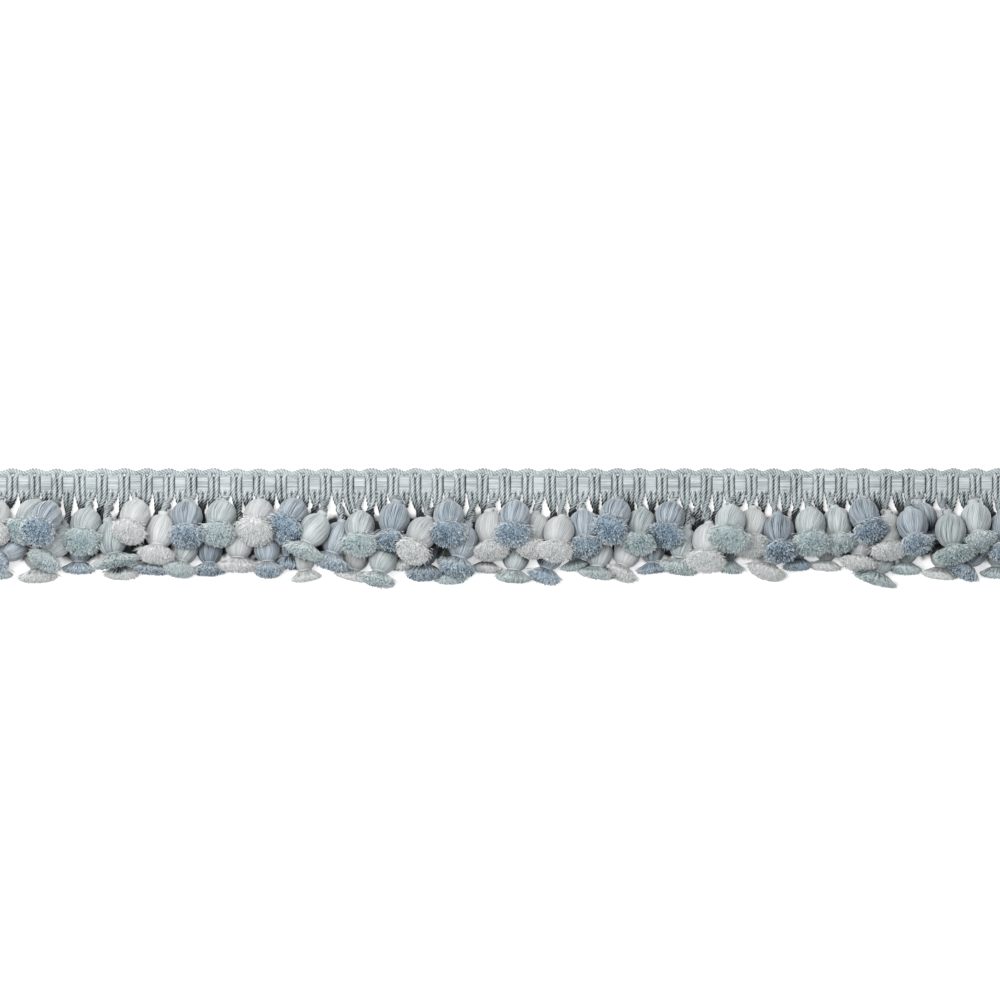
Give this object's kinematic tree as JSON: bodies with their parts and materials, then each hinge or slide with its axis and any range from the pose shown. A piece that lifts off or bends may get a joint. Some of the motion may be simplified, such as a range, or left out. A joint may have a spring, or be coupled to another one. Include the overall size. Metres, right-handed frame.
{
  "type": "tassel fringe trim",
  "caption": "Furnishing trim laid flat: a woven heading with corded ribs and a scalloped edge, and cord loops that carry onion tassels in blue, sage and silver yarn.",
  "frame": {"origin": "middle of the heading's flat back, on the surface that the trim lies on", "axes": "+X along the trim, +Y across it towards the scalloped edge, +Z out of its face"},
  "size_m": [0.5305, 0.0602, 0.0448],
  "materials": {
    "heading_yarn": "twisted viscose cord and fine woven warp",
    "blue_yarn": "silky viscose yarn, cut at the skirt",
    "sage_yarn": "silky viscose yarn, cut at the skirt",
    "silver_yarn": "silky viscose yarn, cut at the skirt"
  },
  "bodies": {
    "root": {"heading": "heading_yarn", "cord_loops": "heading_yarn", "tassel_01": "sage_yarn", "tassel_02": "silver_yarn", "tassel_03": "blue_yarn", "tassel_04": "sage_yarn", "tassel_05": "silver_yarn", "tassel_06": "blue_yarn", "tassel_07": "sage_yarn", "tassel_08": "sage_yarn", "tassel_09": "sage_yarn", "tassel_10": "silver_yarn", "tassel_11": "blue_yarn", "tassel_12": "silver_yarn", "tassel_13": "sage_yarn", "tassel_14": "blue_yarn", "tassel_15": "blue_yarn", "tassel_16": "sage_yarn", "tassel_17": "silver_yarn", "tassel_18": "silver_yarn", "tassel_19": "blue_yarn", "tassel_20": "blue_yarn", "tassel_21": "sage_yarn", "tassel_22": "blue_yarn", "tassel_23": "sage_yarn", "tassel_24": "sage_yarn", "tassel_25": "blue_yarn", "tassel_26": "silver_yarn", "tassel_27": "blue_yarn", "tassel_28": "blue_yarn", "tassel_29": "blue_yarn", "tassel_30": "silver_yarn", "tassel_31": "blue_yarn", "tassel_32": "sage_yarn", "tassel_33": "silver_yarn", "tassel_34": "silver_yarn", "tassel_35": "blue_yarn", "tassel_36": "sage_yarn", "tassel_37": "blue_yarn", "tassel_38": "silver_yarn", "tassel_39": "sage_yarn", "tassel_40": "blue_yarn", "tassel_41": "sage_yarn", "tassel_42": "silver_yarn", "tassel_43": "sage_yarn", "tassel_44": "silver_yarn", "tassel_45": "silver_yarn", "tassel_46": "blue_yarn", "tassel_47": "sage_yarn", "tassel_48": "sage_yarn", "tassel_49": "blue_yarn", "tassel_50": "silver_yarn", "tassel_51": "sage_yarn", "tassel_52": "silver_yarn", "tassel_53": "blue_yarn", "tassel_54": "blue_yarn", "tassel_55": "sage_yarn", "tassel_56": "sage_yarn", "tassel_57": "blue_yarn", "tassel_58": "blue_yarn"}
  },
  "joints": []
}
